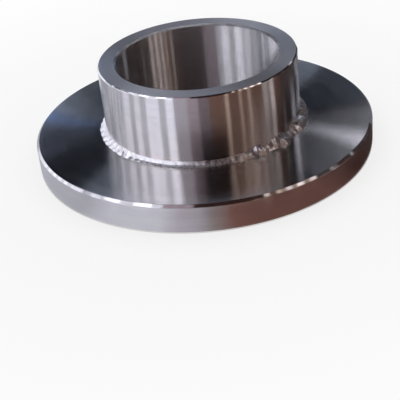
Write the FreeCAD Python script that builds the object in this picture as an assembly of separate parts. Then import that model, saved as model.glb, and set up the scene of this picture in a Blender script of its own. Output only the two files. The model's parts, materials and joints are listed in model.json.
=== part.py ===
import FreeCAD, Part
import math
import os

# Lap joint stub end, welded together from a short turned barrel and a flat lap ring.
# The origin is the centre of the gasket face, which lies on the floor, and +Z runs up the
# barrel to its weld end. Angles round the axis start at +X and turn towards +Y.
# All sizes are in millimetres and degrees.

# Barrel: a short length of heavy-wall pipe with a square end
pipe_outside_diameter = 60.3
pipe_wall = 5.54
barrel_projection = 21.4
weld_end_outer_chamfer = 0.4
weld_end_bore_chamfer = 0.6
gasket_end_bore_break = 0.4

# Lap ring: the flat disc that slips over the barrel, its gasket face flush with the barrel's end
ring_diameter = 104.0
ring_thickness = 9.0
slip_clearance = 0.15
back_edge_chamfer = 0.75
gasket_edge_break = 0.25

# Groove weld on the gasket side, machined flush with the face
groove_depth = 3.0
groove_width = 2.6

# Rippled fillet weld between the barrel and the ring's back face. Each station gives an angle
# round the axis, the bead's leg there as a share of the full leg, and how uneven the drops
# are. The bead is full on the left, thin along the front and lumpy on the right.
bead_leg = 2.5
bead_stations = [
    (0, 0.92, 0.08),
    (45, 0.84, 0.05),
    (90, 0.88, 0.05),
    (135, 0.80, 0.05),
    (180, 0.96, 0.06),
    (200, 0.80, 0.06),
    (217, 0.96, 0.06),
    (232, 0.72, 0.05),
    (246, 0.56, 0.04),
    (270, 0.52, 0.04),
    (290, 0.60, 0.05),
    (299, 0.88, 0.16),
    (307, 0.68, 0.16),
    (316, 1.00, 0.16),
    (326, 0.76, 0.12),
    (340, 1.00, 0.10),
]
drop_spacing_in_legs = 1.0
drop_inset = 1.6
unevenness_phase = 2.4

# Radii and levels that follow from the sizes above
pipe_radius = pipe_outside_diameter / 2
bore_radius = pipe_radius - pipe_wall
ring_radius = ring_diameter / 2
ring_bore_radius = pipe_radius + slip_clearance
weld_end_level = ring_thickness + barrel_projection

full_turn = 360
axis_foot = FreeCAD.Vector(0, 0, 0)
axis_up = FreeCAD.Vector(0, 0, 1)


def turned(corners):
    """Solid of revolution from the corners of its half section, each (radius, height)."""
    points = [FreeCAD.Vector(radius, 0, height) for radius, height in corners]
    outline = Part.makePolygon(points + points[:1])
    return Part.Face(outline).revolve(axis_foot, axis_up, full_turn)


def make_barrel():
    """Pipe piece from the gasket face to the weld end, with its end corners broken."""
    return turned([
        (bore_radius + gasket_end_bore_break, 0),
        (pipe_radius, 0),
        (pipe_radius, weld_end_level - weld_end_outer_chamfer),
        (pipe_radius - weld_end_outer_chamfer, weld_end_level),
        (bore_radius + weld_end_bore_chamfer, weld_end_level),
        (bore_radius, weld_end_level - weld_end_bore_chamfer),
        (bore_radius, gasket_end_bore_break),
    ])


def make_lap_ring():
    """Flat ring with a chamfered back edge and a weld bevel in the mouth of its bore."""
    return turned([
        (ring_bore_radius + groove_width, 0),
        (ring_radius - gasket_edge_break, 0),
        (ring_radius, gasket_edge_break),
        (ring_radius, ring_thickness - back_edge_chamfer),
        (ring_radius - back_edge_chamfer, ring_thickness),
        (ring_bore_radius, ring_thickness),
        (ring_bore_radius, groove_depth),
    ])


def make_face_groove_weld():
    """Weld metal that fills the bevel between barrel and ring, flush with the gasket face."""
    return turned([
        (pipe_radius, 0),
        (ring_bore_radius + groove_width, 0),
        (ring_bore_radius, groove_depth),
        (pipe_radius, groove_depth),
    ])


def bead_at(angle):
    """Leg and unevenness of the bead at an angle, eased between the stations on either side."""
    stations = bead_stations + [(full_turn,) + bead_stations[0][1:]]
    for before, after in zip(stations, stations[1:]):
        if before[0] <= angle <= after[0]:
            share = (angle - before[0]) / (after[0] - before[0])
            eased = (1 - math.cos(math.pi * share)) / 2
            leg_share = before[1] + (after[1] - before[1]) * eased
            unevenness = before[2] + (after[2] - before[2]) * eased
            return bead_leg * leg_share, unevenness


def drop_angles():
    """Angles of the weld drops, closer together where the bead is thin."""
    angles = []
    angle = 0
    while angle < full_turn:
        angles.append(angle)
        angle += math.degrees(drop_spacing_in_legs * bead_at(angle)[0] / pipe_radius)
    return [each * full_turn / angle for each in angles]


def make_drop(angle, leg):
    """Ball of weld metal whose centre is sunk into the corner, so that it shows one leg each way."""
    radius = math.hypot(leg + drop_inset, drop_inset)
    outward = FreeCAD.Vector(math.cos(math.radians(angle)), math.sin(math.radians(angle)), 0)
    along = axis_up.cross(outward)
    centre = outward * (pipe_radius - drop_inset) + axis_up * (ring_thickness - drop_inset)
    into_corner = -(outward + axis_up).normalize()
    turn = FreeCAD.Rotation(into_corner, along.cross(into_corner), along, "ZXY")
    ball = Part.makeSphere(radius)
    ball.Placement = FreeCAD.Placement(centre, turn)
    return ball


def make_back_fillet_weld():
    """Row of overlapping drops round the barrel, kept to the corner that it shares with the ring."""
    drops = []
    for number, angle in enumerate(drop_angles()):
        leg, unevenness = bead_at(angle)
        drops.append(make_drop(angle, leg * (1 + unevenness * math.sin(unevenness_phase * number))))
    bead = drops[0].multiFuse(drops[1:])
    reach = 2 * bead_leg
    corner = turned([
        (pipe_radius, ring_thickness),
        (pipe_radius + reach, ring_thickness),
        (pipe_radius + reach, ring_thickness + reach),
        (pipe_radius, ring_thickness + reach),
    ])
    return bead.common(corner)


pieces = {
    "barrel": make_barrel(),
    "lap_ring": make_lap_ring(),
    "back_fillet_weld": make_back_fillet_weld(),
    "face_groove_weld": make_face_groove_weld(),
}

os.makedirs("parts", exist_ok=True)
for name, shape in pieces.items():
    solids = shape.Solids
    print(name, "solids", len(solids), "faces", len(shape.Faces), "volume", round(shape.Volume, 1))
    shape.exportStep(f"parts/{name}.step")
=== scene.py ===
# %% [markdown]
# # A lap joint stub end
#
# This object is a short, thick pipe welded into a flat ring. A loose flange later clamps the ring
# against a gasket. The whole part is turned metal: a barrel, a ring and two welds, with no paint
# and hardly a colour of its own. What the eye sees on it is the light around it, smeared by fine
# turning marks. So this lesson is about three things: clean round meshes, metal that stretches
# its reflections the right way, and light that is worth reflecting.
#
# The imported model comes first. It is the frame: it fixes every size, and the new pieces are made to
# fit it.

import json
import math

import bpy
import numpy as np
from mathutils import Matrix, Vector, noise


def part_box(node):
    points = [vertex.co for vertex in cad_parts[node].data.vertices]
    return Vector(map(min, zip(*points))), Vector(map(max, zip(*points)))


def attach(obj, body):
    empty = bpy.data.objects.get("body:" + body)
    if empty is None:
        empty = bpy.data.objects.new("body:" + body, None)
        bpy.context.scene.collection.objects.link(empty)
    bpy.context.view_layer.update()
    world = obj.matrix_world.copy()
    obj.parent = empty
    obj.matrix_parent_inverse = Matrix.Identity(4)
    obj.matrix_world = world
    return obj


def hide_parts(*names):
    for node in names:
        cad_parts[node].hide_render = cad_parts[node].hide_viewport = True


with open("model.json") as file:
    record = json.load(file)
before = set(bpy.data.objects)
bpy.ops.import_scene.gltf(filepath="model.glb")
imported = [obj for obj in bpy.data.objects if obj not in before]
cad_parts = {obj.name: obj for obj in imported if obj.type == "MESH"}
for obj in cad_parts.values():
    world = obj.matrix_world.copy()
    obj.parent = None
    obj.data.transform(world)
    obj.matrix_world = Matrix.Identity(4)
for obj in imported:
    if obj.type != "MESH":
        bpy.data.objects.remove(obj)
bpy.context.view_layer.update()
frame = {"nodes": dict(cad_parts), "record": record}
print("Nodes in the frame:", sorted(frame["nodes"]))

# %% [markdown]
# The sizes are read from the frame where it has them. The record's mounts give the barrel's
# radius and bore, and the boxes of the nodes give the ring's radius and the two levels. Only the
# small edge sizes have to be written again, because a mesh doesn't say where a chamfer starts.

# %% Sizes in metres
mm = 0.001
mounts = {mount["name"]: mount for mount in frame["record"]["mounts"]}
pipe_radius = mounts["backing_flange_seat"]["dims"]["r_mm"] * mm
bore_radius = mounts["bore"]["dims"]["r_mm"] * mm
ring_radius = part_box("lap_ring")[1].x
ring_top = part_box("lap_ring")[1].z
weld_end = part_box("barrel")[1].z

weld_end_outer_chamfer = 0.4 * mm
weld_end_bore_chamfer = 0.6 * mm
gasket_end_bore_break = 0.4 * mm
slip_clearance = 0.15 * mm
back_edge_chamfer = 0.75 * mm
gasket_edge_break = 0.25 * mm
groove_depth = 3.0 * mm
groove_width = 2.6 * mm
ring_bore_radius = pipe_radius + slip_clearance
print(f"Barrel radius {pipe_radius / mm:.2f} mm, bore radius {bore_radius / mm:.2f} mm")
print(f"Ring radius {ring_radius / mm:.2f} mm, ring top at {ring_top / mm:.2f} mm")

# %% [markdown]
# ## Turned pieces
#
# A lathe makes a round part by sweeping a tool's path about an axis, and Blender's Spin does the
# same. A circle primitive supplies a closed loop with one point for each corner of the section.
# The points are moved to the section's corners, and the loop is then spun about the axis.
#
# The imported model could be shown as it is, but its circles have 100 to 130 sides. On metal that
# mirrors what is around it, each side would show as a stripe. The new pieces have hundreds of
# sides. Spin is run on one sector, and the sector is then copied all round by a second Spin,
# which keeps the points of a full turn exactly where they belong.

# %% Helpers that draw a section and spin it
sides_round = 360
sectors = 6
merge_distance = 0.001 * mm


def select_only(piece):
    """Deselects everything else and makes the piece active, as a click on it would."""
    bpy.ops.object.select_all(action="DESELECT")
    piece.select_set(True)
    bpy.context.view_layer.objects.active = piece


def section_loop(name, corners):
    """Closed loop of edges through the section's corners, each (radius, height), at angle zero."""
    bpy.ops.object.select_all(action="DESELECT")
    bpy.ops.mesh.primitive_circle_add(vertices=len(corners), fill_type="NGON")
    piece = bpy.context.object
    piece.name = name
    for vertex, (radius, height) in zip(piece.data.vertices, corners):
        vertex.co = (radius, 0, height)
    return piece


def spin_all_round(steps):
    """Spins the section through one sector, copies the sector all round and closes the seams."""
    sector = math.tau / sectors
    bpy.ops.mesh.delete(type="ONLY_FACE")
    bpy.ops.mesh.select_all(action="SELECT")
    bpy.ops.mesh.spin(steps=steps // sectors, angle=sector, center=(0, 0, 0), axis=(0, 0, 1))
    bpy.ops.mesh.select_all(action="SELECT")
    bpy.ops.mesh.spin(
        steps=sectors - 1, angle=math.tau - sector, dupli=True, center=(0, 0, 0), axis=(0, 0, 1)
    )
    bpy.ops.mesh.select_all(action="SELECT")
    bpy.ops.mesh.remove_doubles(threshold=merge_distance)
    bpy.ops.mesh.normals_make_consistent(inside=False)


print("Each turned piece gets", sides_round, "sides")

# %% [markdown]
# The gasket face isn't smooth. It is left with a fine spiral of tool grooves, which bite into the
# gasket and stop it from creeping. They lie too close to each other for the spiral to show, so
# plain rings stand in for it. The bottom edge of the section is subdivided, and every other point
# is lifted off the floor. The crests stay on the floor, so the part still stands at its level.

# %% A helper that grooves the gasket face
face_groove_pitch = 0.8 * mm
face_groove_depth = 0.05 * mm


def on_gasket_face(vertex):
    """Whether a point lies on the floor, where the gasket face is."""
    return abs(vertex.co.z) < merge_distance


def groove_gasket_face(piece):
    """Cuts the section's straight bottom edge into crests on the floor and shallow grooves."""
    bpy.ops.object.mode_set(mode="OBJECT")
    for face in piece.data.polygons:
        face.select = False
    for vertex in piece.data.vertices:
        vertex.select = on_gasket_face(vertex)
    for edge in piece.data.edges:
        edge.select = all(piece.data.vertices[end].select for end in edge.vertices)
    radii = [vertex.co.x for vertex in piece.data.vertices if vertex.select]
    grooves = round((max(radii) - min(radii)) / face_groove_pitch)
    bpy.ops.object.mode_set(mode="EDIT")
    bpy.ops.mesh.subdivide(number_cuts=2 * grooves - 1)
    bpy.ops.object.mode_set(mode="OBJECT")
    points = [vertex for vertex in piece.data.vertices if on_gasket_face(vertex)]
    points.sort(key=lambda vertex: vertex.co.x)
    for vertex in points[1::2]:
        vertex.co.z = face_groove_depth
    bpy.ops.object.mode_set(mode="EDIT")
    print(piece.name, "gets", grooves, "grooves in its gasket face")


# %% [markdown]
# A lathe never leaves a perfectly sharp edge, and a rounded edge is what catches a glint. So a
# vertex bevel rounds each corner of the section before it is spun. Bevelling the finished solid
# would do the same with far more faces to go wrong. A Weighted Normal modifier then keeps the flat
# faces flat right up to their rounded edges, and is applied as on any finished piece.

# %% A helper that turns a piece
edge_round = 0.07 * mm
round_segments = 3
flat_face_weight = 100


def turned_piece(name, corners):
    """Piece turned from its half section, with its edges rounded and its faces shaded smooth."""
    piece = section_loop(name, corners)
    bpy.ops.object.mode_set(mode="EDIT")
    bpy.ops.mesh.select_all(action="SELECT")
    bpy.ops.mesh.bevel(offset=edge_round, segments=round_segments, affect="VERTICES")
    groove_gasket_face(piece)
    bpy.ops.mesh.select_all(action="SELECT")
    spin_all_round(sides_round)
    bpy.ops.object.mode_set(mode="OBJECT")
    bpy.ops.object.shade_smooth()
    flat_faces = piece.modifiers.new("flat faces", "WEIGHTED_NORMAL")
    flat_faces.weight = flat_face_weight
    bpy.ops.object.modifier_apply(modifier=flat_faces.name)
    print(name, "has", len(piece.data.polygons), "faces")
    return piece


# %% [markdown]
# The barrel runs from the gasket face to the weld end. Its section is a tall thin rectangle with
# three broken corners: a chamfer on each side of the weld end, and a small break at the bottom of
# the bore. The bottom outer corner stays square, because the flush weld covers it.

# %% Barrel
barrel = turned_piece("turned_barrel", [
    (bore_radius + gasket_end_bore_break, 0),
    (pipe_radius, 0),
    (pipe_radius, weld_end - weld_end_outer_chamfer),
    (pipe_radius - weld_end_outer_chamfer, weld_end),
    (bore_radius + weld_end_bore_chamfer, weld_end),
    (bore_radius, weld_end - weld_end_bore_chamfer),
    (bore_radius, gasket_end_bore_break),
])
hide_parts("barrel")
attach(barrel, "root")

# %% [markdown]
# The ring is one more turned section. Its back edge has the wide chamfer that shows as a bright
# line all along the front of the part, and its bore has a bevel at the gasket side. The second
# weld fills that bevel and is machined level with the face.

# %% Ring and its flush weld
lap_ring = turned_piece("faced_ring", [
    (ring_bore_radius + groove_width, 0),
    (ring_radius - gasket_edge_break, 0),
    (ring_radius, gasket_edge_break),
    (ring_radius, ring_top - back_edge_chamfer),
    (ring_radius - back_edge_chamfer, ring_top),
    (ring_bore_radius, ring_top),
    (ring_bore_radius, groove_depth),
])
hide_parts("lap_ring")
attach(lap_ring, "root")

flush_weld = turned_piece("flush_weld", [
    (pipe_radius, 0),
    (ring_bore_radius + groove_width, 0),
    (ring_bore_radius, groove_depth),
    (pipe_radius, groove_depth),
])
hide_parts("face_groove_weld")
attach(flush_weld, "root")

# %% [markdown]
# ## The weld bead
#
# A hand weld is a row of puddles. Each puddle freezes as a round-fronted ripple on the one before
# it, so the bead looks like a tipped-over stack of coins. One way to make it is to model a single
# coin and copy it all round, but the copies cut through each other and leave creases. Here the
# bead's section is spun about the axis, and then its points are pushed out or drawn in by one
# formula: how large the bead is at that angle, and where the point lies on its ripple.
#
# The stations below describe the bead at some angles. It is full and rippled on the left, thin and
# washed smooth along the front, and lumpy on the right, as if the welder had stopped and started there.
# A bulge above zero is a rounded bead, and one below zero is a hollow one that runs softly into the
# metal on both sides.

# %% What the bead is like at each angle
bead_leg = 2.5 * mm
full_turn = 360
# Each station: angle, leg as a share of the full leg, unevenness, ripple strength, bulge
bead_stations = [
    (0, 0.92, 0.20, 0.5, 0.2),
    (45, 0.84, 0.10, 0.5, 0.15),
    (90, 0.88, 0.10, 0.5, 0.15),
    (135, 0.80, 0.10, 0.5, 0.15),
    (180, 0.84, 0.10, 0.9, 0.1),
    (200, 0.72, 0.10, 1.0, 0.1),
    (217, 0.74, 0.10, 0.9, 0.05),
    (232, 0.62, 0.06, 0.4, -0.2),
    (246, 0.54, 0.03, 0.05, -0.3),
    (262, 0.53, 0.04, 0.05, -0.3),
    (270, 0.52, 0.12, 0.1, -0.1),
    (290, 0.60, 0.20, 0.15, 0.1),
    (299, 0.88, 0.40, 0.2, 0.3),
    (307, 0.68, 0.60, 0.3, 0.1),
    (316, 1.00, 0.50, 0.3, 0.3),
    (326, 0.72, 0.40, 0.3, 0.2),
    (340, 1.00, 0.50, 0.4, 0.3),
]


def between(limits, share):
    """Value at a share of the way from the first limit to the second."""
    return limits[0] + (limits[1] - limits[0]) * share


def eased(share):
    """The share with a slow start and a slow end, so that what follows it has no corners."""
    return (1 - math.cos(math.pi * share)) / 2


def bead_at(angle):
    """Leg, unevenness, ripple strength and bulge at an angle, eased between the stations."""
    stations = bead_stations + [(full_turn,) + bead_stations[0][1:]]
    for before, after in zip(stations, stations[1:]):
        if before[0] <= angle <= after[0]:
            share = (angle - before[0]) / (after[0] - before[0])
            return [between(limits, eased(share)) for limits in zip(before[1:], after[1:])]


print("Bead leg on the left:", round(bead_at(180)[0] * bead_leg / mm, 2), "mm")

# %% [markdown]
# A welder's hand is steady but not a machine, so each ripple is a little longer or shorter than
# the last. The lengths and sizes come from a seeded random generator, so that the bead is the
# same on every run.

# %% Where each ripple starts and how large it is
seed = 7
rng = np.random.default_rng(seed)
# Shortest and longest ripple, measured in legs of the bead
ripple_length = (1.3, 2.0)


def ripple_angles():
    """Angles where the ripples start, closer together where the bead is thin."""
    angles = [0]
    while angles[-1] < full_turn:
        leg = bead_at(angles[-1])[0] * bead_leg
        angles.append(angles[-1] + math.degrees(leg / pipe_radius) * rng.uniform(*ripple_length))
    return np.array(angles) * full_turn / angles[-1]


ripples = ripple_angles()
ripple_size = rng.uniform(-1, 1, len(ripples))
print("Ripples round the bead:", len(ripples) - 1)

# %% [markdown]
# The section is a closed loop: two straight legs along the barrel and the ring, and a face of
# fifteen points between the two toes. It is spun at a leg of one millimetre with a flat face.
# After that each point's distance from the corner is multiplied by what the formula gives, so
# points on a leg slide along the metal that they rest on and never leave it.

# %% Spin the bead's section
bead_steps = 1500
face_points = 15
quarter_turn = math.pi / 2


def bead_section():
    """Corners of the section at a leg of 1 mm: the root, then straight from toe to toe."""
    corners = [(pipe_radius, ring_top)]
    for turn in np.linspace(0, quarter_turn, face_points):
        reach = mm / (math.cos(turn) + math.sin(turn))
        corners.append((pipe_radius + reach * math.cos(turn), ring_top + reach * math.sin(turn)))
    return corners


bead = section_loop("fillet_bead", bead_section())
bpy.ops.object.mode_set(mode="EDIT")
bpy.ops.mesh.select_all(action="SELECT")
spin_all_round(bead_steps)
bpy.ops.object.mode_set(mode="OBJECT")
print("The plain bead has", len(bead.data.vertices), "points")

# %% [markdown]
# Now the ripples. For each point, `share` says how far along its ripple the point lies, from 0 to
# 1. The middle of the face runs ahead of the toes, which bends every ripple into a crescent. The
# ripples are deepest in the middle of the face and shallow at the toes, where the puddle wetted
# the metal evenly. A noise adds lumps, so that no two ripples are alike.

# %% Push the bead's points into ripples
crescent = 0.2
ripple_depth = 0.55
toe_depth = 0.12
lump_length = 1.6 * mm
crease_angle = 60


def eased_size(number, share):
    """Random size at a place along a ripple, running smoothly from this one's to the next one's."""
    following = (number + 1) % (len(ripples) - 1)
    return between((ripple_size[number], ripple_size[following]), eased(share))


def bead_reach(angle, height_share, place):
    """Distance of the bead's face from its corner, against a flat face with a leg of 1 mm."""
    leg_share, unevenness, strength, bulge = bead_at(angle)
    leg = leg_share * bead_leg
    middle = math.sin(math.pi * height_share)
    along = (angle - crescent * middle * math.degrees(leg / pipe_radius)) % full_turn
    number = int(np.searchsorted(ripples, along, side="right")) - 1
    share = (along - ripples[number]) / (ripples[number + 1] - ripples[number])
    depth = strength * (toe_depth + (ripple_depth - toe_depth) * middle)
    ripple = 1 - depth * (1 - math.sin(math.pi * share))
    lump = noise.noise(place / lump_length)
    size = 1 + unevenness * (eased_size(number, share) + lump) / 2
    return leg / mm * (1 + bulge * middle) * ripple * size


for vertex in bead.data.vertices:
    x, y, z = vertex.co
    radius = math.hypot(x, y)
    from_wall = radius - pipe_radius
    from_ring = z - ring_top
    if math.hypot(from_wall, from_ring) > merge_distance:
        angle = math.degrees(math.atan2(y, x)) % full_turn
        height_share = min(max(math.atan2(from_ring, from_wall) / quarter_turn, 0), 1)
        grown = bead_reach(angle, height_share, vertex.co)
        scale = (pipe_radius + from_wall * grown) / radius
        vertex.co = (x * scale, y * scale, ring_top + from_ring * grown)

select_only(bead)
bpy.ops.object.shade_smooth_by_angle(angle=math.radians(crease_angle))
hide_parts("back_fillet_weld")
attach(bead, "root")
print("The bead has", len(bead.data.polygons), "faces")

# %% [markdown]
# ## Effects that the metals share
#
# All the surfaces are the same alloy, but each has its own history: turned, faced, bored, cut or
# welded. The effects that they share are shader groups, each built once with named inputs and
# placed in every metal with its own values. A group puts out only a mask or a height that varies
# over the surface. The shader itself stays in the material.

# %% Helpers for shader groups
def new_group(name, inputs, output):
    """Shader group with a Position, the named number inputs at their defaults, and one output."""
    group = bpy.data.node_groups.new(name, "ShaderNodeTree")
    group.interface.new_socket("Position", in_out="INPUT", socket_type="NodeSocketVector")
    for label, default in inputs.items():
        socket = group.interface.new_socket(label, in_out="INPUT", socket_type="NodeSocketFloat")
        socket.default_value = default
    group.interface.new_socket(output, in_out="OUTPUT", socket_type="NodeSocketFloat")
    entry = group.nodes.new("NodeGroupInput")
    leave = group.nodes.new("NodeGroupOutput")
    return group, entry.outputs, leave.inputs[output]


def feed(tree, sockets, values):
    """Puts a value into each socket, or links another node's output to it."""
    for socket, value in zip(sockets, values):
        if isinstance(value, bpy.types.NodeSocket):
            tree.links.new(value, socket)
        else:
            socket.default_value = value


def math_node(tree, operation, *values):
    """Result of a Math node whose inputs are numbers or other nodes' outputs."""
    node = tree.nodes.new("ShaderNodeMath")
    node.operation = operation
    feed(tree, node.inputs, values)
    return node.outputs[0]


def noise_at(tree, position, size, detail):
    """Value of a Noise texture at a position, with cells of about the given size."""
    scale = math_node(tree, "DIVIDE", 1, size)
    node = tree.nodes.new("ShaderNodeTexNoise")
    feed(tree, [node.inputs["Vector"], node.inputs["Scale"]], [position, scale])
    node.inputs["Detail"].default_value = detail
    return node.outputs["Fac"]


def clear_step(tree, value, low, high):
    """Smooth step from 0 at the low value to 1 at the high value."""
    node = tree.nodes.new("ShaderNodeMapRange")
    node.interpolation_type = "SMOOTHSTEP"
    feed(tree, [node.inputs["Value"]], [value])
    node.inputs["From Min"].default_value = low
    node.inputs["From Max"].default_value = high
    return node.outputs["Result"]


# %% [markdown]
# A point on a turned surface is best described as a lathe sees it: how far out it lies, how high,
# and in which direction from the axis. Turning marks lie across one measure that grows both
# outwards and upwards, so one pattern serves the walls and the flat faces alike.

# %% Measures round the axis
outward_weight = 1.7


def parts_of(tree, position):
    """X, Y and Z of a position, as three outputs."""
    node = tree.nodes.new("ShaderNodeSeparateXYZ")
    tree.links.new(position, node.inputs[0])
    return node.outputs


def lathe_measures(tree, position):
    """Outputs for the radius, the height and the distance across the turning marks."""
    x, y, height = parts_of(tree, position)
    squares = math_node(tree, "MULTIPLY_ADD", x, x, math_node(tree, "MULTIPLY", y, y))
    radius = math_node(tree, "SQRT", squares)
    across = math_node(tree, "MULTIPLY_ADD", radius, outward_weight, height)
    return {"radius": radius, "height": height, "across": across}


# %% [markdown]
# Turning marks are a saw-tooth cut by the tool's tip. Feeding slowly, it leaves an even ridge. A
# boring bar is pushed one way and leaves a lopsided one, and the rise share says how lopsided.
# The uneven cut is what remains of chatter and a wearing tip: bands round the part that are a
# little duller or brighter than their neighbours, and fade in and out as they go round.

# %% Turning marks and uneven cut
uneven_cut_limits = (0.3, 0.7)


def make_turning_marks():
    """Group whose height rises and falls across the marks of a tool that went round the axis."""
    inputs = {"Pitch": 0.1 * mm, "Rise share": 0.5}
    group, entry, leave = new_group("Turning marks", inputs, "Height")
    across = lathe_measures(group, entry["Position"])["across"]
    along = math_node(group, "FRACT", math_node(group, "DIVIDE", across, entry["Pitch"]))
    fall_share = math_node(group, "SUBTRACT", 1, entry["Rise share"])
    rise = math_node(group, "DIVIDE", along, entry["Rise share"])
    fall = math_node(group, "DIVIDE", math_node(group, "SUBTRACT", 1, along), fall_share)
    group.links.new(math_node(group, "MINIMUM", rise, fall), leave)
    return group


def make_uneven_cut():
    """Group whose mask varies from band to band of the cut and slowly round each band."""
    group, entry, leave = new_group("Uneven cut", {"Band width": 0.8 * mm, "Run": 2}, "Mask")
    parts = parts_of(group, entry["Position"])
    measures = lathe_measures(group, entry["Position"])
    run_share = math_node(group, "DIVIDE", entry["Run"], measures["radius"])
    place = group.nodes.new("ShaderNodeCombineXYZ")
    feed(group, place.inputs, [
        math_node(group, "MULTIPLY", parts["X"], run_share),
        math_node(group, "MULTIPLY", parts["Y"], run_share),
        math_node(group, "DIVIDE", measures["across"], entry["Band width"]),
    ])
    cut = noise_at(group, place.outputs[0], size=1, detail=3)
    group.links.new(clear_step(group, cut, *uneven_cut_limits), leave)
    return group


turning_marks = make_turning_marks()
uneven_cut = make_uneven_cut()
print("Groups so far:", [group.name for group in bpy.data.node_groups])

# %% [markdown]
# Hands and rags leave smudges, large and soft. Swarf and weld spatter leave specks, tiny and
# sparse: most cells of a Voronoi pattern are left empty, and the others get one round spot.

# %% Smudges and specks
smudge_limits = (0.42, 0.68)
empty_cells = 0.72


def make_smudges():
    """Group whose mask is large soft clouds of the given size."""
    group, entry, leave = new_group("Smudges", {"Size": 12 * mm}, "Mask")
    cloud = noise_at(group, entry["Position"], entry["Size"], detail=4)
    group.links.new(clear_step(group, cloud, *smudge_limits), leave)
    return group


def make_specks():
    """Group whose mask is a few round spots, at most one to a cell and none in most cells."""
    group, entry, leave = new_group("Specks", {"Spacing": 4 * mm, "Spot": 0.15 * mm}, "Mask")
    cells = group.nodes.new("ShaderNodeTexVoronoi")
    scale = math_node(group, "DIVIDE", 1, entry["Spacing"])
    feed(group, [cells.inputs["Vector"], cells.inputs["Scale"]], [entry["Position"], scale])
    chance = group.nodes.new("ShaderNodeSeparateColor")
    group.links.new(cells.outputs["Color"], chance.inputs[0])
    chosen = math_node(group, "GREATER_THAN", chance.outputs[0], empty_cells)
    distance = math_node(group, "MULTIPLY", cells.outputs["Distance"], entry["Spacing"])
    close = math_node(group, "LESS_THAN", distance, entry["Spot"])
    group.links.new(math_node(group, "MULTIPLY", chosen, close), leave)
    return group


smudges = make_smudges()
specks = make_specks()
print("Groups so far:", [group.name for group in bpy.data.node_groups])

# %% [markdown]
# Two effects follow an edge: handling rubs a chamfer bright, and a weld's heat leaves a faint
# straw tint beside the bead. Both need the same thing, a mask that is strong at a given radius
# and height, fades over a given reach and is broken up by a grain. So one group serves both.

# %% Near an edge
ragged_limits = (0.1, 0.9)


def make_near_edge():
    """Group whose mask is 1 along an edge and fades away from it with a ragged border."""
    inputs = {"Edge radius": 50 * mm, "Edge height": 10 * mm, "Reach": mm, "Grain": mm}
    group, entry, leave = new_group("Near an edge", inputs, "Mask")
    measures = lathe_measures(group, entry["Position"])
    outwards = math_node(group, "SUBTRACT", measures["radius"], entry["Edge radius"])
    upwards = math_node(group, "SUBTRACT", measures["height"], entry["Edge height"])
    squares = math_node(group, "MULTIPLY", outwards, outwards)
    squares = math_node(group, "MULTIPLY_ADD", upwards, upwards, squares)
    distance = math_node(group, "SQRT", squares)
    nearness = math_node(group, "SUBTRACT", 1, math_node(group, "DIVIDE", distance, entry["Reach"]))
    grain = noise_at(group, entry["Position"], entry["Grain"], detail=3)
    ragged = math_node(group, "ADD", nearness, math_node(group, "SUBTRACT", grain, 0.5))
    group.links.new(clear_step(group, ragged, *ragged_limits), leave)
    return group


near_edge = make_near_edge()
print("Groups so far:", [group.name for group in bpy.data.node_groups])

# %% [markdown]
# ## Turned metal
#
# A lathe tool leaves fine grooves that run round the axis. Along a groove the metal is smooth, and
# across it the metal is rough, so a reflection stays sharp one way and is drawn out the other way.
# The Principled BSDF does this with Anisotropic, and a radial Tangent tells it which way is
# round. A quarter turn of Anisotropic Rotation puts the long smear across the grooves. A bump on
# real grooves alone would look right in a close-up, but from a step away the grooves are finer
# than a pixel, and only the shader can smear the light.

# %% Helpers for the metals
def place_group(tree, group, values):
    """Places a shader group fed by the place on the piece, sets its values, gives its output."""
    node = tree.nodes.new("ShaderNodeGroup")
    node.node_tree = group
    position = tree.nodes.new("ShaderNodeTexCoord")
    tree.links.new(position.outputs["Object"], node.inputs["Position"])
    for label, value in values.items():
        node.inputs[label].default_value = value
    return node.outputs[0]


def mixed_colour(tree, mask, strength, colour, tint):
    """The colour, turned towards the tint where the mask is strong."""
    node = tree.nodes.new("ShaderNodeMix")
    node.data_type = "RGBA"
    node.clamp_factor = True
    tree.links.new(math_node(tree, "MULTIPLY", mask, strength), node.inputs["Factor"])
    feed(tree, [node.inputs["A"], node.inputs["B"]], [colour, tint])
    return node.outputs["Result"]


def new_metal(name, roughness):
    """Plain metallic material, with its shader's inputs and its node tree."""
    material = bpy.data.materials.new(name)
    material.use_nodes = True
    shader = material.node_tree.nodes["Principled BSDF"]
    shader.inputs["Metallic"].default_value = 1
    shader.inputs["Roughness"].default_value = roughness
    return material, shader.inputs, material.node_tree


def lay_layers(tree, shader, colour, roughness, layers):
    """Lays each layer's tint, and its change of the roughness, where the layer's mask is strong."""
    for mask, strength, tint, duller in layers:
        colour = mixed_colour(tree, mask, strength, colour, tint)
        roughness = math_node(tree, "MULTIPLY_ADD", mask, duller, roughness)
    tree.links.new(colour, shader["Base Color"])
    tree.links.new(roughness, shader["Roughness"])


def add_bump(tree, shader, height, depth):
    """Shades the surface as if it rose by the depth where the height is 1."""
    bump = tree.nodes.new("ShaderNodeBump")
    bump.inputs["Distance"].default_value = depth
    tree.links.new(height, bump.inputs["Height"])
    tree.links.new(bump.outputs["Normal"], shader["Normal"])


# %% [markdown]
# Copper-nickel is a silvery metal with a faint warmth. Its colour is mixed in layers: the clean
# metal, duller where the cut is uneven or smudged, straw-coloured beside the weld, bright along
# the rubbed edge, and dark in the specks. The same masks change the roughness, because a smudge
# or a rubbed edge is seen by its gloss more than by its colour.

# %% A helper that makes a turned metal
clean_metal = (0.75, 0.73, 0.72, 1)
dull_metal = (0.62, 0.60, 0.60, 1)
heat_straw = (0.80, 0.62, 0.50, 1)
rubbed_metal = (0.90, 0.89, 0.88, 1)
speck_dark = (0.16, 0.14, 0.13, 1)

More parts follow.
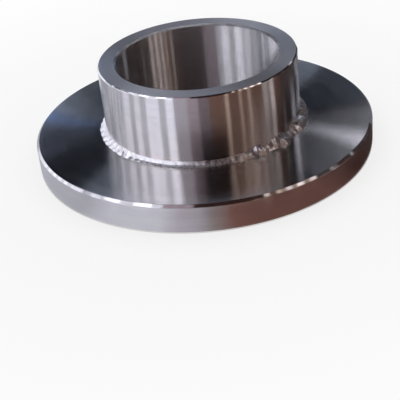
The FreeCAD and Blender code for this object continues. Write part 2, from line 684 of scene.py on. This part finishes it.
cut_pattern = {"Band width": 1.2 * mm, "Run": 2.5}
smudge_pattern = {"Size": 14 * mm}
speck_pattern = {"Spacing": 4 * mm, "Spot": 0.15 * mm}
worn_pattern = {"Reach": 0.9 * mm, "Grain": 1.5 * mm}
heat_pattern = {
    "Edge radius": pipe_radius, "Edge height": ring_top, "Reach": 3.5 * mm, "Grain": 3 * mm,
}
# About what the uneven cut and the smudges add to the roughness on average
average_dulling = 0.025
quarter_rotation = 0.25
fine_pitch = 0.13 * mm
fine_depth = 0.001 * mm


def turned_metal(
    name, roughness, worn_edge, stretch=1, dulling=0.3,
    pitch=fine_pitch, depth=fine_depth, rise_share=0.5,
):
    """Metal whose reflections are drawn out across its turning marks, worn along one edge."""
    material, shader, tree = new_metal(name, roughness)
    shader["Anisotropic"].default_value = stretch
    shader["Anisotropic Rotation"].default_value = quarter_rotation
    tangent = tree.nodes.new("ShaderNodeTangent")
    tangent.direction_type = "RADIAL"
    tangent.axis = "Z"
    tree.links.new(tangent.outputs["Tangent"], shader["Tangent"])

    edge = {"Edge radius": worn_edge[0], "Edge height": worn_edge[1]}
    cut = place_group(tree, uneven_cut, cut_pattern)
    smudge = place_group(tree, smudges, smudge_pattern)
    speck = place_group(tree, specks, speck_pattern)
    worn = place_group(tree, near_edge, {**worn_pattern, **edge})
    heat = place_group(tree, near_edge, heat_pattern)
    # Each layer: mask, strength, tint, change of the roughness
    lay_layers(tree, shader, clean_metal, roughness - average_dulling, [
        (cut, dulling, dull_metal, 0.03),
        (smudge, dulling, dull_metal, 0.02),
        (heat, 0.15, heat_straw, 0),
        (worn, 0.8, rubbed_metal, -0.08),
        (speck, 0.9, speck_dark, 0.3),
    ])
    marks = place_group(tree, turning_marks, {"Pitch": pitch, "Rise share": rise_share})
    add_bump(tree, shader, marks, depth)
    return material


# %% [markdown]
# Five metals come from that helper. The outside of the barrel and the faced ring are fine work.
# The bore is rougher, with lopsided marks deep enough to throw the light. The weld end was only
# cut to length, so it is the dullest. The flush weld was machined together with the gasket face.
# The faces of the barrel are shared out by their place: the top, the bore, and all the rest.

# %% Dress the turned pieces
def dress(piece, material):
    """Gives the piece one material all over."""
    piece.data.materials.clear()
    piece.data.materials.append(material)


def dress_where(piece, material, chosen):
    """Gives another material to the faces whose centre and normal pass the test."""
    piece.data.materials.append(material)
    faces = [face for face in piece.data.polygons if chosen(face.center, face.normal)]
    for face in faces:
        face.material_index = len(piece.data.materials) - 1
    print(material.name, "covers", len(faces), "faces")


inner_edge = bore_radius + weld_end_bore_chamfer / 2
outer_top_edge = (pipe_radius, weld_end)
inner_top_edge = (bore_radius, weld_end)
ring_back_edge = (ring_radius, ring_top)
gasket_outer_edge = (pipe_radius + groove_width, 0)
facing_up = 0.9


def on_weld_end(centre, normal):
    return normal.z > facing_up and centre.z > weld_end - merge_distance


def in_bore(centre, normal):
    return math.hypot(centre.x, centre.y) < inner_edge and centre.z < weld_end - merge_distance


wall_metal = turned_metal("turned wall metal", 0.18, outer_top_edge)
ring_metal = turned_metal("faced ring metal", 0.16, ring_back_edge)
bore_metal = turned_metal(
    "bored metal", 0.20, inner_top_edge, dulling=0.1,
    pitch=0.10 * mm, depth=0.066 * mm, rise_share=0.15,
)
end_metal = turned_metal("cut end metal", 0.42, inner_top_edge, stretch=0.8, dulling=0.05)
weld_metal = turned_metal("machined weld metal", 0.22, gasket_outer_edge)
dress(barrel, wall_metal)
dress_where(barrel, end_metal, on_weld_end)
dress_where(barrel, bore_metal, in_bore)
dress(lap_ring, ring_metal)
dress(flush_weld, weld_metal)

# %% [markdown]
# The bead was never turned. Its metal froze as it lay, so its gloss is the same in every
# direction. A fine mottling stands for the skin of the frozen puddles: its patches are a little
# duller than the rest and seem to stand a hair higher. Larger clouds carry the straw tint of the
# heat, and dark specks are the pits.

# %% Dress the bead
bead_bright = (0.93, 0.92, 0.92, 1)
bead_dull = (0.66, 0.62, 0.60, 1)
bead_roughness = 0.3
clean_bead_roughness = 0.27
skin_depth = 0.012 * mm

bead_metal, bead_shader, bead_tree = new_metal("weld bead metal", bead_roughness)
skin = place_group(bead_tree, smudges, {"Size": 1.1 * mm})
pits = place_group(bead_tree, specks, {"Spacing": 1.5 * mm, "Spot": 0.12 * mm})
scorch = place_group(bead_tree, smudges, {"Size": 9 * mm})
# Each layer: mask, strength, tint, change of the roughness
lay_layers(bead_tree, bead_shader, bead_bright, clean_bead_roughness, [
    (skin, 0.4, bead_dull, 0.1),
    (scorch, 0.2, heat_straw, 0),
    (pits, 0.8, speck_dark, 0),
])
add_bump(bead_tree, bead_shader, skin, skin_depth)
dress(bead, bead_metal)
print("Metals:", [material.name for material in bpy.data.materials if "metal" in material.name])

# %% [markdown]
# ## Floor and world
#
# The part stands on a plain pale floor. To the camera, and in the metal, the floor is mostly a
# flat white glow, so that the background is white without more light on the part. The rest of its
# brightness is real light on a pale surface, and that share keeps the soft shadow. Farther out the
# glow takes over altogether, so the floor runs into the white world without a horizon.

# %% Floor
floor_size = 6
floor_tone = (0.9, 0.9, 0.9, 1)
floor_roughness = 0.9
floor_glow_share = 0.7
fade_distances = (1.2 * ring_radius, 4 * ring_radius)


def seen_directly(tree):
    """Value that is 1 where the camera, a mirror or a clear surface looks, and 0 elsewhere."""
    path = tree.nodes.new("ShaderNodeLightPath").outputs
    seen = math_node(tree, "MAXIMUM", path["Is Camera Ray"], path["Is Glossy Ray"])
    return math_node(tree, "MAXIMUM", seen, path["Is Transmission Ray"])


bpy.ops.object.select_all(action="DESELECT")
bpy.ops.mesh.primitive_plane_add(size=floor_size)
floor = bpy.context.object
floor.name = "floor"
floor_material = bpy.data.materials.new("pale floor")
floor_material.use_nodes = True
floor_tree = floor_material.node_tree
floor_shader = floor_tree.nodes["Principled BSDF"]
floor_shader.inputs["Base Color"].default_value = floor_tone
floor_shader.inputs["Roughness"].default_value = floor_roughness
floor_shader.inputs["Specular IOR Level"].default_value = 0
floor_glow = floor_tree.nodes.new("ShaderNodeEmission")
floor_mix = floor_tree.nodes.new("ShaderNodeMixShader")
floor_position = floor_tree.nodes.new("ShaderNodeTexCoord")
distance = floor_tree.nodes.new("ShaderNodeVectorMath")
distance.operation = "LENGTH"
floor_tree.links.new(floor_position.outputs["Object"], distance.inputs[0])
far = clear_step(floor_tree, distance.outputs["Value"], *fade_distances)
glow_share = math_node(floor_tree, "MULTIPLY_ADD", far, 1 - floor_glow_share, floor_glow_share)
glow_share = math_node(floor_tree, "MULTIPLY", seen_directly(floor_tree), glow_share)
floor_tree.links.new(glow_share, floor_mix.inputs["Fac"])
floor_tree.links.new(floor_shader.outputs["BSDF"], floor_mix.inputs[1])
floor_tree.links.new(floor_glow.outputs["Emission"], floor_mix.inputs[2])
floor_tree.links.new(floor_mix.outputs["Shader"], floor_tree.nodes["Material Output"].inputs["Surface"])
dress(floor, floor_material)
print("The floor glows by a share of", floor_glow_share)

# %% [markdown]
# The world is the only lamp: one even, soft light from everywhere, at the level where a colour
# renders about as it is written. Where it is looked at directly it is plain white.

# %% World
world_level = 0.9
world = bpy.data.worlds.new("studio")
world.use_nodes = True
world_tree = world.node_tree
background = world_tree.nodes["Background"].inputs
background["Color"].default_value = (1, 1, 1, 1)
strength = math_node(world_tree, "MULTIPLY_ADD", seen_directly(world_tree), 1 - world_level, world_level)
world_tree.links.new(strength, background["Strength"])
bpy.context.scene.world = world
bpy.context.scene.view_settings.view_transform = "Standard"
print("World level:", world_level)

# %% [markdown]
# ## Camera
#
# The camera looks down on the part by about a quarter of a right angle and a little more, from
# just under a third of a metre, through a long lens. It comes before the cards below, because
# nearly every card is hung where this camera sees it mirrored.

# %% Camera
camera_place = Vector((0, -275.65, 144.98)) * mm
camera_turn = [math.radians(angle) for angle in (58.875, 5.251, -2.396)]
camera_data = bpy.data.cameras.new("camera")
camera_data.lens = 88.5
camera_data.sensor_width = 36
camera_data.clip_start = 0.01
camera = bpy.data.objects.new("camera", camera_data)
camera.location = camera_place
camera.rotation_euler = camera_turn
bpy.context.collection.objects.link(camera)
bpy.context.scene.camera = camera
print(f"Camera {camera_place.length / mm:.0f} mm from the gasket face's centre")

# %% [markdown]
# ## Cards
#
# A photographer of polished metal doesn't light the metal. They light cards, and place them where the
# metal mirrors them. These cards do the same. They glow, nearly all with a single tone, and are seen
# only in reflections, so they don't light the floor. The tones are a small palette: whites and greys for
# the bright side, mauve, rose, tan, rust and brown for the warm side, and steel, slate and blue for the
# light overhead. They and the levels in the tables below were set one by one, with a trial fit to a
# photograph of the real part as a guide, and were then corrected from render to render until the streaks
# came near those in it.

# %% Tones
white = (1.0, 1.01, 1.16)
cool = (0.9, 0.98, 1.22)
pale = (0.75, 0.76, 0.8)
grey = (0.5, 0.51, 0.58)
dusk = (0.42, 0.40, 0.46)
mauve = (0.44, 0.36, 0.42)
steel = (0.45, 0.53, 0.68)
slate = (0.35, 0.42, 0.62)
tan = (0.5, 0.38, 0.32)
rose = (0.6, 0.52, 0.52)
brown = (0.13, 0.075, 0.06)
blue = (0.25, 0.4, 0.8)
rust = (0.14, 0.068, 0.058)
dark = (0.05, 0.036, 0.036)
glint = (1.6, 1.55, 1.5)


def shade(tone, level):
    """The tone made brighter or darker."""
    return tuple(round(part * level, 4) for part in tone)


print("Half grey:", shade(grey, 0.5))

# %% [markdown]
# A card is a grid primitive whose points are moved to a curved place by a formula. Its material
# only glows. Sampling it as a lamp is switched off, because only reflections look at it.

# %% Helpers that make a card
card_rows = 8
card_materials = {}


def glowing_material(name):
    """Material that only glows, with its Emission node."""
    material = bpy.data.materials.new(name)
    material.use_nodes = True
    material.cycles.emission_sampling = "NONE"
    tree = material.node_tree
    tree.nodes.remove(tree.nodes["Principled BSDF"])
    glow = tree.nodes.new("ShaderNodeEmission")
    tree.links.new(glow.outputs["Emission"], tree.nodes["Material Output"].inputs["Surface"])
    return material, glow


def card_material(tone):
    """Glowing material of one tone, made once."""
    if tone not in card_materials:
        material, glow = glowing_material(f"card tone {len(card_materials)}")
        glow.inputs["Color"].default_value = (*tone, 1)
        card_materials[tone] = material
    return card_materials[tone]


def columns_over(angles, step=1):
    """Number of columns, each about one step of degrees wide, but never under two."""
    return max(2, round((angles[1] - angles[0]) / step))


def card(name, columns, rows, place, tone):
    """Card whose points are put where place(across, along) says, both from 0 to 1."""
    bpy.ops.object.select_all(action="DESELECT")
    bpy.ops.mesh.primitive_grid_add(x_subdivisions=columns, y_subdivisions=rows, size=1)
    piece = bpy.context.object
    piece.name = name
    for vertex in piece.data.vertices:
        vertex.co = place(vertex.co.x + 0.5, vertex.co.y + 0.5)
    piece.visible_camera = False
    piece.visible_diffuse = False
    piece.visible_shadow = False
    piece.visible_transmission = False
    dress(piece, card_material(tone))
    return piece


# %% [markdown]
# Where does the camera see a card? At each foot on the metal, the line of sight is mirrored about
# the normal there. Turning marks tilt that normal across the marks, so one strip of metal mirrors
# a whole arc, from the floor in front of it up to the sky. A card that fills such an arc shows as
# one clean stripe on the metal, with straight sides.

# %% Mirror geometry
card_distance = 0.6
sight_level = 20 * mm
floor_gap = 0.2 * mm
up = Vector((0, 0, 1))


def direction_at(angle):
    """Level direction outwards at an angle round the axis, in degrees."""
    turn = math.radians(angle)
    return Vector((math.cos(turn), math.sin(turn), 0))


def mirrored(foot, normal):
    """Direction in which the camera's sight leaves the metal at a foot."""
    sight = (camera_place - foot).normalized()
    return 2 * sight.dot(normal) * normal - sight


def wall_mirror(radius, facing, angle, share, rise):
    """Foot and outgoing sight on a wall whose marks tilt it towards the horizon and beyond.

    A share of the tilt below 1 looks down at the floor, and a rise past it looks up, in degrees.
    """
    level_normal = direction_at(angle) * facing
    foot = direction_at(angle) * radius + up * sight_level
    sight = (camera_place - foot).normalized()
    horizon_tilt = math.atan2(sight.z, sight.dot(level_normal)) / 2
    tilt = horizon_tilt * share + math.radians(rise)
    return foot, mirrored(foot, level_normal * math.cos(tilt) + up * math.sin(tilt))


front_sight = wall_mirror(pipe_radius, facing=1, angle=270, share=1, rise=0)[1]
print("The front of the barrel mirrors the horizon at height", round(front_sight.z, 4))

# %% [markdown]
# The barrel's cards are curtains: each runs along the floor from the ring's edge and then up a
# far wall. On the left the curtains are pale and striped, on the right they are brown with a few
# narrow light slits. Their stripes are seen three times: on the barrel, again in the ring, where
# the ring mirrors the barrel, and once more low on the barrel, which mirrors the ring. The part
# above the horizon matters most low on the barrel, so each curtain has a height and a brightness
# for it: the rise and the lift.

# %% Curtains that the barrel mirrors
floor_end = 0.999
floor_rows = 10
near_gap = 0.3 * mm
near_radii = (ring_radius + near_gap, 68 * mm)


def curtain(name, angles, tone, lift=1, rise=20):
    """Card over the floor and up a far wall, whose wall part is brighter or darker by the lift."""
    def floor_place(across, along):
        angle = between(angles, across)
        foot, onward = wall_mirror(pipe_radius, 1, angle, min(along, floor_end), 0)
        place = foot + onward * min(card_distance, (sight_level - floor_gap) / -onward.z)
        if place.xy.length < near_radii[0]:
            place.xy = place.xy.normalized() * near_radii[0]
        return place

    def wall_place(across, along):
        foot, onward = wall_mirror(pipe_radius, 1, between(angles, across), 1, rise * along)
        return foot + onward * card_distance

    columns = columns_over(angles, step=2)
    card(name + "_floor", columns, floor_rows, floor_place, tone)
    card(name + "_wall", columns, card_rows, wall_place, shade(tone, lift))


# Each curtain: first and last angle on the barrel, tone, level, and where they aren't the usual
# ones, the lift and the rise in degrees
curtains = [
    (180, 190, pale, 1, 1.3, 18),
    (190, 205, grey, 0.8, 2.6, 30),
    (222, 226.5, white, 0.9, 1.5),
    (226.5, 230, grey, 1),
    (230, 234, white, 0.86, 1.5),
    (234, 238, grey, 1),
    (238, 246, white, 0.95, 1.5),
    (246, 250, grey, 1),
    (250, 254.5, white, 1, 1.5),
    (254.5, 262, dusk, 1),
    (262, 268, mauve, 0.8, 0.4),
    (268, 274, mauve, 0.4, 0.05),
    (274, 282.7, brown, 1.3, 0.03),
    (282.7, 284.7, tan, 1),
    (284.7, 290.7, brown, 1),
    (290.7, 292.3, tan, 0.7),
    (292.3, 296, brown, 1),
    (296, 298, tan, 0.7),
    (298, 306, brown, 0.85),
    (306, 309.5, rose, 0.6),
    (309.5, 311.5, rose, 0.35),
    (311.5, 314.5, rose, 1),
    (314.5, 320, brown, 0.8),
    (320, 342, dark, 1),
    (342, 352, grey, 0.4, 1, 6),
    (352, 360, dark, 1, 1, 6),
]
pinstripes = 10
pinstripe_limits = (205, 222)
pinstripe_levels = (0.85, 1.35)
for number in range(pinstripes):
    angles = tuple(between(pinstripe_limits, end / pinstripes) for end in (number, number + 1))
    curtains.append((*angles, grey, pinstripe_levels[number % 2], 1.8))
for number, (first, last, tone, level, *lift_and_rise) in enumerate(curtains):
    curtain(f"card_curtain_{number}", (first, last), shade(tone, level), *lift_and_rise)
print("Curtains:", len(curtains))

# %% [markdown]
# The rim of the ring mirrors the floor right beside it, where the tones run softly into each other. One
# flat ring with a Color Ramp round the axis does this better than a row of cards. Its ramp reads the
# Object coordinates, so it stays with the card. Inside the bore a dark card on the floor is painted
# shade: it stands for the shade that the barrel keeps on the floor within it.

# %% The near floor that the rim mirrors, and painted shade in the bore
ring_rows = 2
# Each station: angle, tone, level
near_stations = [
    (0, grey, 0.2),
    (85, grey, 1.2),
    (150, grey, 1),
    (222, grey, 1),
    (232, grey, 1.3),
    (252, grey, 1.3),
    (258, dusk, 1.2),
    (265, dusk, 1),
    (270, rose, 0.46),
    (277, rust, 1.5),
    (285, rust, 1.1),
    (312, rust, 1),
    (320, rust, 0.7),
    (330, rust, 0.35),
    (355, dark, 1),
    (360, grey, 0.2),
]


def floor_ring(radii):
    """Formula for a flat ring between two radii, just above the floor and the curtains on it."""
    def place(across, along):
        return direction_at(full_turn * across) * between(radii, along) + up * 2 * floor_gap

    return place


def ramp_round_axis(tree, stations):
    """Colour that eases from station to station round the axis."""
    parts = parts_of(tree, tree.nodes.new("ShaderNodeTexCoord").outputs["Object"])
    turn = math_node(tree, "ARCTAN2", parts["Y"], parts["X"])
    share = math_node(tree, "FRACT", math_node(tree, "MULTIPLY_ADD", turn, 1 / math.tau, 1))
    ramp = tree.nodes.new("ShaderNodeValToRGB")
    tree.links.new(share, ramp.inputs["Fac"])
    elements = ramp.color_ramp.elements
    for station in stations[1:-1]:
        elements.new(station[0] / full_turn)
    for element, (azimuth, tone, level) in zip(elements, stations):
        element.position = azimuth / full_turn
        element.color = (*shade(tone, level), 1)
    return ramp.outputs["Color"]


near_columns = columns_over((0, full_turn), step=2)
near_ring = card("card_near_floor", near_columns, ring_rows, floor_ring(near_radii), grey)
near_material, near_glow = glowing_material("near floor tones")
near_colour = ramp_round_axis(near_material.node_tree, near_stations)
near_material.node_tree.links.new(near_colour, near_glow.inputs["Color"])
dress(near_ring, near_material)
# Painted shade: a dark card over the floor inside the bore, so that the bore mirrors a dark floor where
# the glowing floor would look white
bore_columns = columns_over((0, full_turn), step=6)
card("card_bore_floor_painted_shade", bore_columns, ring_rows, floor_ring((0, bore_radius)), shade(dark, 0.4))
print("Stations round the near floor:", len(near_stations))

# %% [markdown]
# The bore faces the camera from the far side, and its deep lopsided marks look up at the light
# over the camera's shoulder. Its cards hang a little nearer than the curtains: wide bright ones
# for the pale half, a dark one for the middle, and a row of narrow ones for the bright lines.

# %% Cards that the bore mirrors
bore_card_distance = 0.57
bore_rises = (20, 33)
# Each card: first and last angle in the bore, tone, level
bore_cards = [
    (39, 45, white, 0.3),
    (45, 49, white, 1),
    (49, 53, white, 0.8),
    (53, 59, white, 1.9),
    (59, 64, white, 0.8),
    (64, 70, white, 1.9),
    (70, 74, white, 0.78),
    (74, 84, mauve, 0.85),
    (84, 108, rust, 0.25),
    (108, 109.5, tan, 0.95),
    (109.5, 112, brown, 0.75),
    (112, 113.5, tan, 1.65),
    (113.5, 115.5, tan, 0.55),
    (115.5, 117.5, rose, 1.9),
    (117.5, 119.5, tan, 0.55),
    (119.5, 122, rose, 2.15),
    (122, 124.5, tan, 0.6),
    (124.5, 127, rose, 2.15),
    (127, 150, dark, 0.4),
]


def bore_card(name, angles, tone):
    """Card above the horizon as the bore mirrors it between two angles."""
    def place(across, along):
        rise = between(bore_rises, along)
        foot, onward = wall_mirror(bore_radius, -1, between(angles, across), 1, rise)
        return foot + onward * bore_card_distance

    card(name, columns_over(angles), card_rows, place, tone)


for number, (first, last, tone, level) in enumerate(bore_cards):
    bore_card(f"card_bore_{number}", (first, last), shade(tone, level))
print("Cards for the bore:", len(bore_cards))

# %% [markdown]
# A flat turned face shows light as wedges that meet at the axis, because the marks smear each
# light only outwards from it. A cake of such wedges is what makes a face look turned. Each card
# overhead is given by the wedge of the face that mirrors it, and by how far the marks have to
# tilt to reach it. The face itself shows the low tilts most. Tilts of about 24 to 50 degrees serve
# the drops of the bead and the dull weld end. The chamfer at the ring's back edge mirrors those
# near 45, so small bright cards there are the glints along that edge.

# %% Cards that the ring's back face mirrors
wedge_distance = 0.68
chamfer_distance = 0.5
chamfer_tilt = 40
# Each card: first and last angle of the wedge, least and greatest tilt, tone, level
wedges = [
    (0, 14, (6, 18), steel, 0.5),
    (14, 30, (8, 18), steel, 1),
    (30, 75, (3, 18), steel, 1.17),
    (75, 150, (3, 40), steel, 0.54),
    (150, 162, (3, 30), steel, 0.95),
    (162, 165, (4, 26), steel, 2.1),
    (165, 169, (3, 26), slate, 1.2),
    (169, 173, (4, 26), blue, 2.1),
    (173, 178, (4, 26), slate, 1.1),
    (178, 186, (6, 26), slate, 0.75),
    (186, 197, (6, 20), slate, 0.45),
    (222, 236, (5, 24), steel, 1),
    (146, 170, (26, 41), cool, 1),
    (170, 188, (29, 41), cool, 0.7),
    (188, 194, (29, 41), white, 2.5),
    (194, 204, (29, 41), cool, 0.6),
    (204, 213, (29, 41), cool, 0.3),
    (213, 215, (29, 41), white, 1.2),
    (215, 222, (29, 41), cool, 0.2),
    (222, 226.5, (29, 50), white, 1.2),
    (226.5, 230, (29, 50), grey, 0.6),
    (230, 234, (29, 50), white, 1.2),
    (234, 238, (29, 50), grey, 0.9),
    (236, 290, (3, 12), cool, 0.76),
    (331, 337, (28, 38), white, 0.7),
    (308, 320, (3, 9), grey, 0.5),
    (320, 329, (3, 9), grey, 0.73),
    (329, 331, (4, 12), white, 0.85),
    (331.5, 338, (4, 16), white, 2.45),
    (338, 350, (4, 14), grey, 0.76),
    (350, 354, (4, 14), grey, 1.05),
    (354, 360, (6, 14), grey, 0.5),
    (203, 222, (44, 46.5), white, 1.6),
    (286.3, 287.7, (44, 47), glint, 1),
    (298.4, 299.8, (44, 47), glint, 0.75),
    (311.3, 312.4, (44, 46), glint, 0.6),
    (322.2, 323.4, (44, 46), glint, 1),
]


def wedge_card(name, angles, tilts, tone):
    """Card overhead as the ring's back face mirrors it in a wedge between two angles."""
    reach = chamfer_distance if tilts[0] > chamfer_tilt else wedge_distance

    def place(across, along):
        outward = direction_at(between(angles, across))
        foot = outward * (pipe_radius + ring_radius) / 2 + up * ring_top
        tilt = math.radians(between(tilts, along))
        return foot + mirrored(foot, outward * math.sin(tilt) + up * math.cos(tilt)) * reach

    card(name, columns_over(angles), card_rows, place, tone)


for number, (first, last, tilts, tone, level) in enumerate(wedges):
    wedge_card(f"card_wedge_{number}", (first, last), tilts, shade(tone, level))
print("Cards for the ring's face:", len(wedges))

# %% [markdown]
# Behind all of them hangs a nearly black tent. Without it the white world would show in every gap
# between the cards and wash out the dark parts that give the metal its contrast. A dim grey crown
# at its top is hardly seen from the camera's side, and keeps the flat faces from turning black in
# a view from above.

# %% The dark tent
tent_distance = 0.75
crown_distance = 0.7
tent_heights = (-1, 90)
crown_heights = (74, 90)
dome_columns = columns_over((0, full_turn), step=5)


def dome(distance, heights):
    """Formula for a card on a dome about the part, between two heights in degrees."""
    def place(across, along):
        height = math.radians(between(heights, along))
        level = direction_at(full_turn * across) * math.cos(height)
        return (level + up * math.sin(height)) * distance

    return place


tent = dome(tent_distance, tent_heights)
crown = dome(crown_distance, crown_heights)
card("card_tent", dome_columns, rows=18, place=tent, tone=shade(slate, 0.024))
card("card_crown", dome_columns, rows=6, place=crown, tone=shade(grey, 0.15))
